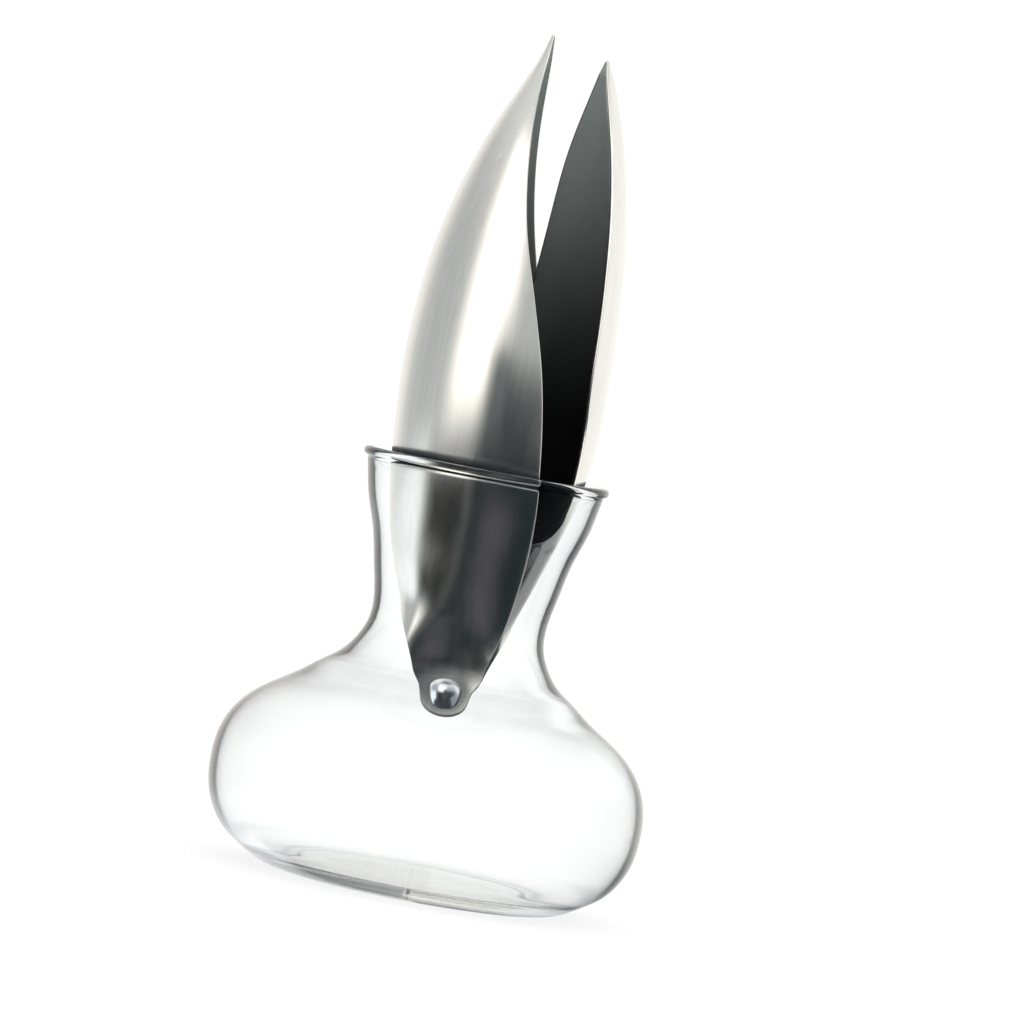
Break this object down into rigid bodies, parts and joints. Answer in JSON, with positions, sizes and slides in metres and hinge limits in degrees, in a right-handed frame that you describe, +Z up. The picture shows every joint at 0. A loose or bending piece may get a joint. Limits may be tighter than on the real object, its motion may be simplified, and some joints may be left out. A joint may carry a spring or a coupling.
{
  "type": "garlic press with glass stand",
  "caption": "Garlic press of nested leaf-shaped steel handles on a ball-headed rivet, standing nose down in the waisted neck of a clear glass jar.",
  "frame": {"origin": "centre of the flat base of the glass, on the surface it stands on", "axes": "+Z up along the glass; the pivot axis is along Y; the inner handle is on the +X side and the front rivet head faces -Y"},
  "size_m": [0.114, 0.114, 0.2253],
  "materials": {
    "glass": "clear, thin, fire polished",
    "satin_steel": "satin, fine lengthwise grain",
    "polished_steel": "mirror polished",
    "washer_plastic": "matte"
  },
  "bodies": {
    "glass": {"glass_stand": "glass"},
    "outer_handle": {"outer_handle": "satin_steel", "plunger_bracket": "satin_steel", "plunger_pin": "satin_steel", "plunger_block": "satin_steel"},
    "pivot": {"pivot_pin": "satin_steel", "pivot_head_front": "polished_steel", "pivot_head_back": "polished_steel", "pivot_washers": "washer_plastic", "pivot_sleeve": "satin_steel"},
    "inner_handle": {"inner_handle": "satin_steel", "press_chamber": "satin_steel", "sieve_insert": "satin_steel"}
  },
  "joints": [
    {"name": "lift", "type": "slide", "parent": "glass", "child": "pivot", "axis": [0, 0, 1], "range_m": [0, 0.16]},
    {"name": "squeeze", "type": "hinge", "parent": "pivot", "child": "outer_handle", "pos_m": [0, 0, 0.0529], "axis": [0, 1, 0], "range_deg": [0, 4.5]},
    {"name": "open", "type": "hinge", "parent": "pivot", "child": "inner_handle", "pos_m": [0, 0, 0.0529], "axis": [0, 1, 0], "range_deg": [0, 60]}
  ],
  "couplings": [
    {"joint": "open", "follows": "lift", "rad_per_m": 6.54}
  ]
}
